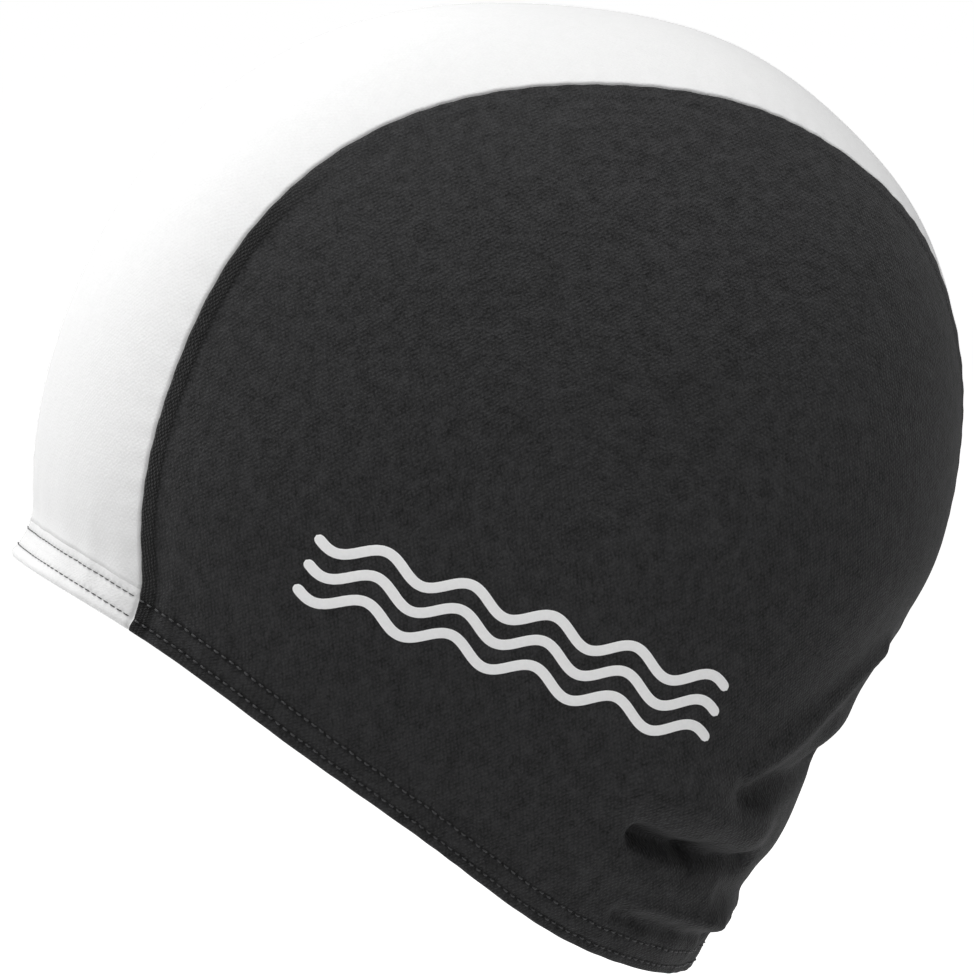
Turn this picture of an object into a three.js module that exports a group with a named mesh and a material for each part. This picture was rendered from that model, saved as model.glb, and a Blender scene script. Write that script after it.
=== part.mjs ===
// Fabric swim cap in three panels: a white centre panel from the forehead over the crown to the nape, and a
// black panel on each side, with a turned hem round the head opening.
// Frame: millimetres, +Z up, -Y the forehead, +X the wearer's left, as the cap sits on a head.
// The origin is the middle of the head opening.
import * as THREE from "three";

// Driving sizes, in millimetres and degrees
const CAP_WIDTH = 154; // outside, ear to ear at the widest point
const CROWN_REACH = 120; // widest point of a side to the outline: the unit of SIDE_OUTLINE and RIM_LINE
const WIDEST_BACK = 14; // widest point, behind the middle of the head opening
const WIDEST_UP = 56.5; // widest point, above the rim
const RIM_TILT = 29.6; // the rim climbs this much from the nape to the forehead
const RIM_DROP = 16; // how far the rim hangs behind the ears: the unit of RIM_LINE
const STRIP_WIDTH = 84; // white centre panel at the forehead: the unit of STRIP_SEAM
const CLOTH = 1.2; // knitted cloth
const HEM_CLOTH = 2.4; // the cloth turned under and stitched
const HEM_DEPTH = 8;
const HEM_FLARE = 7.5; // the hem stands this far out from the curve of the forehead
const FLARE_HEIGHT = 12.5;
const SEAM_GAP = 0.3; // between pieces that are sewn to each other
const FOLD_DEPTH = 3; // the unit of the depths in NAPE_FOLDS
const FOLD_WIDTH = 9; // the unit of the widths in NAPE_FOLDS

// How full the cap is from front to side: 2 is an ellipse, and a higher number is squarer
const FULLNESS = 2.3;

// Outline from the side, turning from straight back over the crown to the forehead and under the chin
const OUTLINE_STEP = 15;
const SIDE_OUTLINE = [
  { turn: 0, reach: 0.53 },
  { turn: 15, reach: 0.57 },
  { turn: 30, reach: 0.66 },
  { turn: 45, reach: 0.725 },
  { turn: 60, reach: 0.81 },
  { turn: 75, reach: 0.9 },
  { turn: 90, reach: 0.945 },
  { turn: 105, reach: 0.985 },
  { turn: 120, reach: 0.995 },
  { turn: 135, reach: 1.03 },
  { turn: 150, reach: 1.05 },
  { turn: 165, reach: 1.045 },
  { turn: 180, reach: 1.005 },
  { turn: 195, reach: 0.985 },
  { turn: 210, reach: 0.945 },
  { turn: 225, reach: 0.92 },
  { turn: 240, reach: 0.89 },
  { turn: 255, reach: 0.875 },
  { turn: 270, reach: 0.88 },
  { turn: 285, reach: 0.89 },
  { turn: 300, reach: 0.875 },
  { turn: 315, reach: 0.775 },
  { turn: 330, reach: 0.635 },
  { turn: 345, reach: 0.56 },
];

// Half width of the centre panel along the seam, as a share of STRIP_WIDTH
const SEAM_STEP = 37;
const STRIP_SEAM = [
  { turn: -77, half: 0.185 },
  { turn: -40, half: 0.185 },
  { turn: -3, half: 0.22 },
  { turn: 34, half: 0.285 },
  { turn: 71, half: 0.385 },
  { turn: 108, half: 0.51 },
  { turn: 145, half: 0.495 },
  { turn: 182, half: 0.505 },
  { turn: 219, half: 0.485 },
  { turn: 256, half: 0.48 },
];

// The rim's drop along the head, back from the widest point as a share of CROWN_REACH
const RIM_STEP = 0.28;
const RIM_LINE = [
  { back: -0.95, drop: -0.04 },
  { back: -0.67, drop: -0.06 },
  { back: -0.39, drop: 0.36 },
  { back: -0.11, drop: 0.58 },
  { back: 0.17, drop: 1 },
  { back: 0.45, drop: 0.71 },
  { back: 0.73, drop: 0.05 },
];

// Folds of the slack cloth at the nape. around is the angle in plan from the middle of the nape toward the
// wearer's left, height is a share of WIDEST_UP above the rim, and a fold with a depth below zero is a crease.
const NAPE_FOLDS = [
  { around: 60, height: 0.5, toAround: 14, toHeight: 0.43, width: 0.5, depth: -0.9 },
  { around: 66, height: 0.68, toAround: 28, toHeight: 0.62, width: 0.8, depth: 0.5 },
  { around: 46, height: 0.95, toAround: 14, toHeight: 1.55, width: 0.8, depth: 0.55 },
  { around: 24, height: 0.85, toAround: 10, toHeight: 1.38, width: 0.65, depth: -0.4 },
  { around: 50, height: 0.3, toAround: 20, toHeight: 0.3, width: 0.6, depth: 0.3 },
  { around: 34, height: 0.18, toAround: -34, toHeight: 0.18, width: 1, depth: -0.95 },
  { around: 14, height: 0.43, toAround: -20, toHeight: 0.42, width: 0.5, depth: -0.5 },
  { around: -20, height: 0.42, toAround: -56, toHeight: 0.5, width: 0.55, depth: -0.75 },
  { around: -22, height: 0.6, toAround: -60, toHeight: 0.7, width: 0.8, depth: 0.45 },
  { around: -16, height: 1.45, toAround: -44, toHeight: 0.95, width: 0.85, depth: 0.45 },
];

// How finely the faces are divided
const SIDE_COLUMNS = 32;
const SIDE_ROWS = 24;
const STRIP_COLUMNS = 8;
const HEM_ROWS = 2;
const FRONT_PANEL_TURN = 145; // the side panel's front edge ends and its top edge starts here
const BACK_PANEL_TURN = 42;
const ROW_CROWDING = 1.25; // rows lie closer together toward the rim
const COLUMN_CROWDING = 1.2; // columns lie closer together toward the nape
const SMALL_STEP = 1e-3; // across the flat chart, for the slope of the cloth
const HALVINGS = 50; // of a stretch in which a height is looked for

const HALF_WIDTH = CAP_WIDTH / 2;
const RIGHT_ANGLE = Math.PI / 2;
const FULL_TURN = 360;

// Cubic bell that is 2/3 at 0 and ends at 2
function bell(x) {
  const far = Math.abs(x);
  if (far >= 2) return 0;
  if (far >= 1) return (2 - far) ** 3 / 6;
  return (4 - 6 * far ** 2 + 3 * far ** 3) / 6;
}

// A smooth curve through a table: the mean of its rows, weighted by how near they are
function blend(rows, placeColumn, valueColumn, place, step, period = Infinity) {
  let total = 0;
  let weights = 0;
  for (const row of rows) {
    let away = place - row[placeColumn];
    if (period < Infinity) away -= period * Math.round(away / period);
    const weight = bell(away / step);
    total += weight * row[valueColumn];
    weights += weight;
  }
  return total / weights;
}

// Height of the rim at a distance behind the middle of the opening
function rimHeight(back) {
  const first = RIM_LINE[0].back;
  const last = RIM_LINE[RIM_LINE.length - 1].back;
  const place = THREE.MathUtils.clamp((back - WIDEST_BACK) / CROWN_REACH, first, last);
  return -RIM_DROP * blend(RIM_LINE, "back", "drop", place, RIM_STEP);
}

function outlineReach(turn) {
  const degrees = THREE.MathUtils.radToDeg(turn);
  return CROWN_REACH * blend(SIDE_OUTLINE, "turn", "reach", degrees, OUTLINE_STEP, FULL_TURN);
}

// Half the width of the centre panel where the seam passes a turn
function seamHalfWidth(turn) {
  return STRIP_WIDTH * blend(STRIP_SEAM, "turn", "half", THREE.MathUtils.radToDeg(turn), SEAM_STEP);
}

// The cap before its hem flare and folds: turn goes round the side view, lateral is the angle from the middle
// line toward the wearer's left. x is left, y is back along the rim and z is away from the rim.
function smoothPoint(turn, lateral) {
  const reach = outlineReach(turn) * Math.cos(lateral) ** (2 / FULLNESS);
  const out = Math.abs(Math.sin(lateral)) ** (2 / FULLNESS);
  return new THREE.Vector3(
    HALF_WIDTH * Math.sign(lateral) * out,
    WIDEST_BACK + reach * Math.cos(turn),
    WIDEST_UP + reach * Math.sin(turn),
  );
}

// The turn and the lateral angle of a place in the side view, on the wearer's left
function placeAt(back, up) {
  const turn = Math.atan2(up - WIDEST_UP, back - WIDEST_BACK);
  const share = Math.hypot(back - WIDEST_BACK, up - WIDEST_UP) / outlineReach(turn);
  return { turn, lateral: Math.acos(Math.min(1, share) ** (FULLNESS / 2)) };
}

// How far one fold lifts the cloth at a place on the nape
function foldLift(fold, around, height) {
  const radius = HALF_WIDTH;
  const start = new THREE.Vector2(THREE.MathUtils.degToRad(fold.around) * radius, fold.height * WIDEST_UP);
  const end = new THREE.Vector2(THREE.MathUtils.degToRad(fold.toAround) * radius, fold.toHeight * WIDEST_UP);
  const along = end.clone().sub(start);
  const from = new THREE.Vector2(around * radius, height).sub(start);
  const share = THREE.MathUtils.clamp(from.dot(along) / along.lengthSq(), 0, 1);
  const away = from.sub(along.multiplyScalar(share)).length() / (fold.width * FOLD_WIDTH);
  return FOLD_DEPTH * fold.depth * Math.exp(-away * away);
}

// The cap's outer face
function outerPoint(turn, lateral) {
  const point = smoothPoint(turn, lateral);
  const height = point.z - rimHeight(point.y);
  const outward = new THREE.Vector3(point.x, point.y - WIDEST_BACK, 0).normalize();
  const around = Math.atan2(point.x, point.y - WIDEST_BACK);
  const forward = Math.max(0, -Math.cos(around));
  const low = Math.max(0, 1 - height / FLARE_HEIGHT);
  let lift = 0;
  for (const fold of NAPE_FOLDS) lift += foldLift(fold, around, height);
  point.addScaledVector(outward, lift);
  point.y -= HEM_FLARE * (forward * low) ** 2;
  return point;
}

// A place on one side of the cap in a flat chart: its distance from the middle is how far it is from the side of
// the head toward the middle line, and its angle is the turn
function toChart(turn, lateral) {
  const far = 1 - lateral / RIGHT_ANGLE;
  return new THREE.Vector2(far * Math.cos(turn), far * Math.sin(turn));
}

// The place of a chart point, where side is 1 on the wearer's left and -1 on the right
function fromChart(chart, side) {
  return { turn: Math.atan2(chart.y, chart.x), lateral: side * RIGHT_ANGLE * (1 - chart.length()) };
}

// The direction away from the head
function outerNormal(turn, lateral) {
  const side = lateral < 0 ? -1 : 1;
  const chart = toChart(turn, Math.abs(lateral));
  const slope = (x, y) => {
    const step = new THREE.Vector2(x, y).multiplyScalar(SMALL_STEP);
    const ahead = fromChart(chart.clone().add(step), side);
    const behind = fromChart(chart.clone().sub(step), side);
    return outerPoint(ahead.turn, ahead.lateral).sub(outerPoint(behind.turn, behind.lateral));
  };
  return slope(1, 0).cross(slope(0, 1)).multiplyScalar(side).normalize();
}

// Where a function of one number changes sign between two ends
function crossing(low, high, value) {
  const startsAbove = value(low) > 0;
  for (let i = 0; i < HALVINGS; i += 1) {
    const middle = (low + high) / 2;
    if (value(middle) > 0 === startsAbove) low = middle;
    else high = middle;
  }
  return (low + high) / 2;
}

// The lateral angle of a place on the centre panel: share is -1 on its right seam and 1 on its left seam
function stripLateral(turn, share, widening) {
  const out = Math.abs(share) * (seamHalfWidth(turn) + widening) / HALF_WIDTH;
  return Math.sign(share) * Math.asin(out ** (FULLNESS / 2));
}

// Turns above and below the hem, at the forehead and at the nape
const FRONT_TURNS = [180, 254].map(THREE.MathUtils.degToRad);
const NAPE_TURNS = [0, -63].map(THREE.MathUtils.degToRad);

// The turn at which a line along the centre panel is at a height above the rim
function turnAtHeight(ends, share, height, widening) {
  return crossing(ends[0], ends[1], (turn) => {
    const point = smoothPoint(turn, stripLateral(turn, share, widening));
    return point.z - rimHeight(point.y) - height;
  });
}

const PANEL_HEIGHT = HEM_DEPTH + SEAM_GAP;
const TOP_FRONT = THREE.MathUtils.degToRad(FRONT_PANEL_TURN);
const TOP_BACK = THREE.MathUtils.degToRad(BACK_PANEL_TURN);

const rowShare = (share) => share ** ROW_CROWDING;
const columnShare = (share) => 1 - (1 - share) ** COLUMN_CROWDING;

function seamChart(turn) {
  return toChart(turn, stripLateral(turn, 1, SEAM_GAP / 2));
}

// A side panel's chart is filled in from its edges: the seam in front, on top and behind, and the hem below
function sidePanelChart() {
  const frontCorner = turnAtHeight(FRONT_TURNS, 1, PANEL_HEIGHT, SEAM_GAP / 2);
  const napeCorner = turnAtHeight(NAPE_TURNS, 1, PANEL_HEIGHT, SEAM_GAP / 2);
  const frontBack = smoothPoint(frontCorner, stripLateral(frontCorner, 1, SEAM_GAP / 2)).y;
  const napeBack = smoothPoint(napeCorner, stripLateral(napeCorner, 1, SEAM_GAP / 2)).y;
  const bottom = (u) => {
    const back = THREE.MathUtils.lerp(frontBack, napeBack, u);
    const place = placeAt(back, rimHeight(back) + PANEL_HEIGHT);
    return toChart(place.turn, place.lateral);
  };
  const top = (u) => seamChart(THREE.MathUtils.lerp(TOP_FRONT, TOP_BACK, u));
  const front = (v) => seamChart(THREE.MathUtils.lerp(frontCorner, TOP_FRONT, v));
  const nape = (v) => seamChart(THREE.MathUtils.lerp(napeCorner, TOP_BACK, v));
  return (u, v) => {
    const corners = [
      [front(0), (1 - u) * (1 - v)],
      [nape(0), u * (1 - v)],
      [front(1), (1 - u) * v],
      [nape(1), u * v],
    ];
    const place = new THREE.Vector2();
    place.addScaledVector(bottom(u), 1 - v).addScaledVector(top(u), v);
    place.addScaledVector(front(v), 1 - u).addScaledVector(nape(v), u);
    for (const [corner, weight] of corners) place.addScaledVector(corner, -weight);
    return place;
  };
}

// A closed solid from one face, thickened inward. placeOf gives the turn and the lateral angle for u and v from
// 0 to 1, with u to the right and v up as the face is seen from outside.
function thickSheet(name, columns, rows, thickness, placeOf, material) {
  const stride = columns + 1;
  const positions = [];
  const inner = [];
  for (let j = 0; j <= rows; j += 1) {
    for (let i = 0; i <= columns; i += 1) {
      const { turn, lateral } = placeOf(i / columns, j / rows);
      const point = outerPoint(turn, lateral);
      const normal = outerNormal(turn, lateral);
      positions.push(...point.toArray());
      inner.push(...point.addScaledVector(normal, -thickness).toArray());
    }
  }
  const count = positions.length / 3;
  positions.push(...inner);
  const index = [];
  const quad = (a, b, c, d) => index.push(a, b, c, a, c, d);
  for (let j = 0; j < rows; j += 1) {
    for (let i = 0; i < columns; i += 1) {
      const a = j * stride + i;
      quad(a, a + 1, a + stride + 1, a + stride);
      quad(count + a, count + a + stride, count + a + stride + 1, count + a + 1);
    }
  }
  for (let i = 0; i < columns; i += 1) {
    const low = i;
    const high = rows * stride + i;
    quad(low, low + count, low + count + 1, low + 1);
    quad(high + 1, high + 1 + count, high + count, high);
  }
  for (let j = 0; j < rows; j += 1) {
    const left = j * stride;
    const right = left + columns;
    quad(left, left + stride, left + stride + count, left + count);
    quad(right, right + count, right + stride + count, right + stride);
  }
  const geometry = new THREE.BufferGeometry();
  geometry.setAttribute("position", new THREE.Float32BufferAttribute(positions, 3));
  geometry.setIndex(index);
  geometry.computeVertexNormals();
  const mesh = new THREE.Mesh(geometry, material);
  mesh.name = name;
  return mesh;
}

// side is 1 on the wearer's left and -1 on the right
function sidePanel(name, side, material) {
  const chart = sidePanelChart();
  return thickSheet(name, SIDE_COLUMNS, SIDE_ROWS, CLOTH, (u, v) => {
    const along = side > 0 ? u : 1 - u;
    return fromChart(chart(columnShare(along), rowShare(v)), side);
  }, material);
}

// The side panels divide their seam into a front, a top and a nape stretch, and the centre panel follows them
function seamTurn(front, nape, share) {
  const divisions = 2 * SIDE_ROWS + SIDE_COLUMNS;
  const at = share * divisions;
  if (at <= SIDE_ROWS) return THREE.MathUtils.lerp(front, TOP_FRONT, rowShare(at / SIDE_ROWS));
  if (at <= SIDE_ROWS + SIDE_COLUMNS) {
    return THREE.MathUtils.lerp(TOP_FRONT, TOP_BACK, columnShare((at - SIDE_ROWS) / SIDE_COLUMNS));
  }
  return THREE.MathUtils.lerp(nape, TOP_BACK, rowShare((divisions - at) / SIDE_ROWS));
}

function centrePanel(material) {
  const widening = -SEAM_GAP / 2;
  return thickSheet("centre_panel", STRIP_COLUMNS, 2 * SIDE_ROWS + SIDE_COLUMNS, CLOTH, (u, v) => {
    const share = 2 * u - 1;
    const front = turnAtHeight(FRONT_TURNS, share, PANEL_HEIGHT, widening);
    const nape = turnAtHeight(NAPE_TURNS, share, PANEL_HEIGHT, widening);
    const turn = seamTurn(front, nape, v);
    return { turn, lateral: stripLateral(turn, share, widening) };
  }, material);
}

// The hem under the centre panel, at the forehead or at the nape
function stripHem(name, ends, across, material) {
  const widening = -SEAM_GAP / 2;
  return thickSheet(name, STRIP_COLUMNS, HEM_ROWS, HEM_CLOTH, (u, v) => {
    const share = across * (2 * u - 1);
    const turn = turnAtHeight(ends, share, v * HEM_DEPTH, widening);
    return { turn, lateral: stripLateral(turn, share, widening) };
  }, material);
}

// The hem under a side panel
function sideHem(name, side, material) {
  const widening = SEAM_GAP / 2;
  return thickSheet(name, SIDE_COLUMNS, HEM_ROWS, HEM_CLOTH, (u, v) => {
    const height = v * HEM_DEPTH;
    const along = side > 0 ? u : 1 - u;
    const ends = [FRONT_TURNS, NAPE_TURNS].map((turns) => {
      const turn = turnAtHeight(turns, 1, height, widening);
      return smoothPoint(turn, stripLateral(turn, 1, widening)).y;
    });
    const back = THREE.MathUtils.lerp(ends[0], ends[1], columnShare(along));
    const place = placeAt(back, rimHeight(back) + height);
    return { turn: place.turn, lateral: side * place.lateral };
  }, material);
}

const whiteCloth = new THREE.MeshStandardMaterial({ color: 0xf1f1f1, roughness: 0.8, metalness: 0 });
const blackCloth = new THREE.MeshStandardMaterial({ color: 0x2b2b2d, roughness: 0.85, metalness: 0 });

const cap = new THREE.Group();
cap.add(
  centrePanel(whiteCloth),
  sidePanel("left_panel", 1, blackCloth),
  sidePanel("right_panel", -1, blackCloth),
  stripHem("front_hem", FRONT_TURNS, 1, whiteCloth),
  stripHem("nape_hem", NAPE_TURNS, -1, whiteCloth),
  sideHem("left_hem", 1, blackCloth),
  sideHem("right_hem", -1, blackCloth),
);
cap.rotation.x = -THREE.MathUtils.degToRad(RIM_TILT);

export default cap;
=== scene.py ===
"""A knitted swim cap in sewn panels: a white strip over the crown, black sides, and hems sewn with a twin needle.

The form is worked out in millimetres in the rim's own frame, where x is the wearer's left, y is back along the rim
and z is away from it. A place on the cap has a turn, its direction in the side view from the widest point of the
sides (0 is back and 90 degrees up), and a lateral angle from the middle line toward the wearer's left. A mesh is
turned into the CAD's frame, in metres, when it is made.
"""

import math

import bmesh
import bpy
import numpy as np
from bpy.props import FloatProperty, FloatVectorProperty, PointerProperty
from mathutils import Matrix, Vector
from mathutils.kdtree import KDTree


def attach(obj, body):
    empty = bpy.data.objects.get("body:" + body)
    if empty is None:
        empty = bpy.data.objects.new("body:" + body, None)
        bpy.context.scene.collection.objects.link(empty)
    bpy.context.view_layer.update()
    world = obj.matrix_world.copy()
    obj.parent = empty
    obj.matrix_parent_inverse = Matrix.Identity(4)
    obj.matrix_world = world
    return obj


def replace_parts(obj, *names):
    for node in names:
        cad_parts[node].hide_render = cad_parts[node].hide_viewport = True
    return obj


bl_info = {
    "name": "Fabric swim cap",
    "version": (1, 0, 0),
    "blender": (4, 5, 0),
    "location": "3D View > Sidebar > Swim Cap",
    "description": "Builds a knitted swim cap from its panels, hems and stitches",
    "category": "Add Mesh",
}

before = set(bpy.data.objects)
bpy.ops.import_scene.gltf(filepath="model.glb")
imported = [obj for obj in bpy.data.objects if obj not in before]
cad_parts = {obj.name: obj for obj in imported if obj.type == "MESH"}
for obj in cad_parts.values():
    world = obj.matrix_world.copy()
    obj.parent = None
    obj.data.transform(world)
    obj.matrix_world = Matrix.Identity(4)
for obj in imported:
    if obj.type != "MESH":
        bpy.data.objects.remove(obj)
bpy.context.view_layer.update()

MM = 0.001
RIGHT_ANGLE = math.pi / 2
BODY = "root"
WHITE_SLOT = "white_cloth"
BLACK_SLOT = "black_cloth"

# The cap's form, in millimetres
CAP_WIDTH = 154.0
HALF_WIDTH = CAP_WIDTH / 2
CROWN_REACH = 120.0
WIDEST_BACK = 14.0
WIDEST_UP = 56.5
RIM_DROP = 16.0
STRIP_WIDTH = 84.0
HEM_DEPTH = 8.15
HEM_FLARE = 7.5
FLARE_HEIGHT = 12.5
FOLD_DEPTH = 3.0
FOLD_WIDTH = 9.0

# How far the rim leans down toward the nape, and how full the cap is across, where 2 would be an ellipse
RIM_TILT = math.radians(29.6)
FULLNESS = 2.3

# Reach from the widest point of a side to the outline, as a share of CROWN_REACH, by turn in degrees
OUTLINE_STEP = 15
OUTLINE_REACH = (
    (0, 0.53), (15, 0.57), (30, 0.66), (45, 0.725), (60, 0.81), (75, 0.9), (90, 0.945), (105, 0.985),
    (120, 0.995), (135, 1.03), (150, 1.05), (165, 1.045), (180, 1.005), (195, 0.985), (210, 0.945), (225, 0.92),
    (240, 0.89), (255, 0.875), (270, 0.88), (285, 0.89), (300, 0.875), (315, 0.775), (330, 0.635), (345, 0.56),
)

# Half width of the white strip, as a share of STRIP_WIDTH, by turn in degrees
SEAM_STEP = 37
SEAM_HALF = (
    (-77, 0.185), (-40, 0.185), (-3, 0.22), (34, 0.235), (71, 0.365),
    (108, 0.51), (145, 0.495), (182, 0.505), (219, 0.485), (256, 0.48),
)

# The rim's drop as a share of RIM_DROP, by how far back it is as a share of CROWN_REACH
RIM_STEP = 0.28
RIM_LINE = ((-0.95, -0.04), (-0.67, -0.06), (-0.39, 0.36), (-0.11, 0.58), (0.17, 1), (0.45, 0.71), (0.73, 0.05))

# Folds of slack cloth: (around, height) to (around, height), width, depth. around is degrees in plan from the
# middle of the nape toward the wearer's left, height a share of WIDEST_UP, and width and depth are shares of
# FOLD_WIDTH and FOLD_DEPTH. A crease has a depth below zero.
NAPE_FOLDS = (
    (60, 0.5, 14, 0.43, 0.5, -0.9),
    (66, 0.68, 28, 0.62, 0.8, 0.5),
    (46, 0.95, 14, 1.55, 0.8, 0.55),
    (24, 0.85, 10, 1.38, 0.65, -0.4),
    (50, 0.3, 20, 0.3, 0.6, 0.3),
    (34, 0.18, -34, 0.18, 1, -0.95),
    (14, 0.43, -20, 0.42, 0.5, -0.5),
    (-20, 0.42, -56, 0.5, 0.55, -0.75),
    (-22, 0.6, -60, 0.7, 0.8, 0.45),
    (-16, 1.45, -44, 0.95, 0.85, 0.45),
)

# Smaller folds on top of those, in the same way
SMALL_FOLDS = (
    (37, 1.42, 60, 0.88, 0.42, 0.75),
    (62, 0.85, 74, 0.72, 0.5, 0.25),
    (32, 1.0, 60, 0.79, 0.42, -1.05),
    (40, 1.12, 14, 1.12, 0.6, 0.45),
    (77, 0.66, 54, 0.68, 0.75, 0.9),
    (98, 0.6, 72, 0.66, 1.5, 0.35),
    (43, 0.62, 26, 0.6, 0.8, -0.5),
    (73, 0.49, 46, 0.53, 0.24, -1.2),
    (73, 0.485, 62, 0.505, 0.26, -1.2),
    (56, 0.49, 16, 0.44, 0.5, 0.35),
    (50, 0.37, 16, 0.37, 0.34, -0.6),
    (76, 0.36, 52, 0.33, 0.5, 0.35),
    (49, 0.27, 40, 0.24, 0.36, 0.5),
    (64, 0.245, 46, 0.26, 0.25, 0.45),
    (66, 0.19, 40, 0.195, 0.22, -0.6),
    (-30, 1.3, -56, 0.85, 0.35, 0.45),
    (-70, 0.5, -48, 0.54, 0.3, -0.8),
)

# Turns between which the strip's front and nape ends lie: above the rim, and below it
FRONT_TURNS = (math.pi, math.radians(254))
NAPE_TURNS = (0.0, math.radians(-63))

# How finely lines are followed and measured
HALVINGS = 40
CHART_STEP = 1e-3
ARC_STEPS = 33
SPOKE_STEPS = 161
MIDDLE_STEPS = 1200
SEAM_LINE_STEPS = 4000
HEM_LINE_STEPS = 600
HEM_LINE_HEIGHT = 4.0

# Soft unevenness: how many waves, how their lengths vary, and what brings their sum down to about 1
RIPPLE_WAVES = 5
RIPPLE_SPREAD = (0.7, 1.4)
RIPPLE_SUM = 3

# Relief at the seams, in millimetres: the sunk line, the raised allowance behind it, and the puckers
SEAM_SINK = 0.6
SEAM_ROLL = 0.45
ALLOWANCE_WIDTH = 4.3
ALLOWANCE_EDGE = 0.5
ALLOWANCE_RISE = 0.3
PUCKER_PITCH = 6.2
PUCKER_RISE = 0.12
PUCKER_REACH = 4
PUCKER_WANDER = 2

# Relief of the cloth that the hem gathers, and of the cloth everywhere above it, in millimetres
GATHER_PITCH = 9.0
GATHER_RISE = 0.22
GATHER_REACH = 7
GATHER_WANDER = 2.5
UNEVEN_RISE = 0.3
UNEVEN_FULL = 20

# Wave length in millimetres and seed of each kind of unevenness
PUCKER_RIPPLE = (30, 3)
GATHER_RIPPLE = (25, 5)
UNEVEN_RIPPLE = (45, 7)

# How finely the panels are divided: distances from a seam in millimetres, even steps beyond them, and how far in
# the close ones may reach at a narrow place
SEAM_ROWS = (0, 0.12, 0.25, 0.4, 0.6, 0.85, 1.2, 1.7, 2.4, 3.2, 4.0, 4.8, 5.7)
NEAR_SHARE = 0.4
STRIP_ROWS = 420
STRIP_INNER_COLUMNS = 50
COLUMN_SQUEEZE = 0.85
SIDE_SPOKES_HEM = 210
SIDE_SPOKES_SEAM = 290
SIDE_RINGS = 78
POLE_GAP = 1e-4

# The hem, in millimetres: a fold of cloth held by two rows of stitches. Its top is tucked behind the panel.
HEM_THICKNESS = 2.0
HEM_TUCK = 0.4
HEM_TOP = HEM_DEPTH + HEM_TUCK
TUCK_DEPTH = 0.05
HEM_RISE = 0.1
HEM_RISE_FULL = 7.0
STITCH_ROWS = (2.4, 6.4)
ROW_SINK = 0.28
ROW_SINK_WIDTH = 0.75
HOLE_PULL = 0.3
# The width of the painted shade at each needle's hole, and the share of that shade along the row between the holes
HOLE_WIDTH = 0.5
ROW_PAINTED_SHADE = 0.25

# How far the white hem reaches past the seam at the forehead, and the height where it has come that far
SEAM_JOG = 0.5
SEAM_JOG_FULL = 3.0

# How finely the hem is divided along it, down its face and round its fold, and its inner side's heights and depths
HEM_SECTION_STEP = 0.36
HEM_FACE_STEP = 0.27
HEM_TURN_STEPS = 9
INNER_START = 0.8
INNER_END = 7.2
INNER_STEPS = 8
TURNED_EDGE = ((7.3, 1.7), (7.35, 0.95), (HEM_TOP, 0.85))
OUTER_FACE_DEPTH = 0.1

# A stitch: how it bows out of the cloth and thins toward its ends, in shares of the thread's radius
STITCH_POINTS = 7
STITCH_LINE_STEP = 0.5
THREAD_SIDES = 7
THREAD_BOW = 1.5
THREAD_SINK = 0.55
THREAD_SWELL = 1.15
THREAD_THINNING = 0.75
THREAD_TAPER = 6
THREAD_LEAST = 0.3

# The print on the left side: three plain wave lines, in millimetres. PRINT_BACK and PRINT_UP are its middle.
PRINT_BACK = -8.5
PRINT_UP = 37.0
PRINT_SLOPE = math.radians(7.6)
PRINT_LENGTH = 92.0
WAVE_LENGTH = 18.4
WAVE_RISE = 2.0
WAVE_LINES = (5.6, 0.0, -5.6)
PRINT_STAND = 0.07
PRINT_SINK = 0.02
PRINT_ROUNDING = 6
PRINT_STEPS = 320
PRINT_WIDTHS = 7

# The knit: the slant of a loop's legs, and the wave texture's own period in its units
LOOP_SLANT = math.radians(55)
WAVE_PERIOD = 2 * math.pi / 20

# Unevenness in millimetres: of one yarn's loops, of the cloth as a whole, and of a thread's plies
YARN_SPAN = 0.77
CLOUD_SPAN = 3.6
PLY_SPAN = 0.25

# How the knit's height is summed from its loops, its yarn and its clouds, and the range of it that colours the cloth
LOOP_WEIGHT = 0.5
BAND_LOOP_WEIGHT = 1.0
YARN_WEIGHT = 2.0
CLOUD_WEIGHT = 1.4
HEIGHT_RANGE = (1.15, 2.45)

# Where the band over the allowance lies, which is painted darker as shade and shows its loops more, in millimetres:
# near the seam, and in front of a slanting line on the flat cloth; and the distances over which the seam line's
# painted shade fades
ALLOWANCE_FADE = 0.4
FRONT_DIRECTION = (1.0, 0.8, 0.0)
FRONT_RANGE = (-60.0, -90.0)
SEAM_LINE_RANGE = (0.3, 0.75)

# How each cloth takes its colour. shade is its darkest yarn as a share of the colour, grain how much the loops and
# the yarn show in the colour and relief how deep they are. The tones are painted shade: how light the cloth stays in
# the band over the front of the allowance, in the gap of the seam line, and in the needle's holes.
WHITE_KNIT = {
    "shade": 0.5, "grain": 0.1, "relief": 0.25, "allowance_painted_shade": 1.0, "seam_gap_shade": 0.9, "hole_shade_tone": 0.7,
}
BLACK_KNIT = {
    "shade": 0.0, "grain": 0.8, "relief": 1.0, "allowance_painted_shade": 0.25, "seam_gap_shade": 0.1, "hole_shade_tone": 0.15,
}

# Spun polyester thread: twisted plies with a slight gloss, which catch the light on the dark hem
THREAD_LOOKS = {"span": PLY_SPAN, "shade": 0.4, "relief": 0.4, "roughness": 0.45, "sheen": 0.2}
# Screen-printed ink: a smooth matt film that takes a little of the knit's grain
INK_LOOKS = {"span": YARN_SPAN, "shade": 0.9, "relief": 0.2, "roughness": 0.55, "sheen": 0.0}

HEMS = (("front", WHITE_SLOT), ("nape", WHITE_SLOT), ("left", BLACK_SLOT), ("right", BLACK_SLOT))
# How much of each stitch shows, and how plump it is: drawn tight on the white hem, looser on the black one
STITCH_LOOKS = {WHITE_SLOT: (0.86, 0.72), BLACK_SLOT: (0.6, 1.15)}

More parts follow.
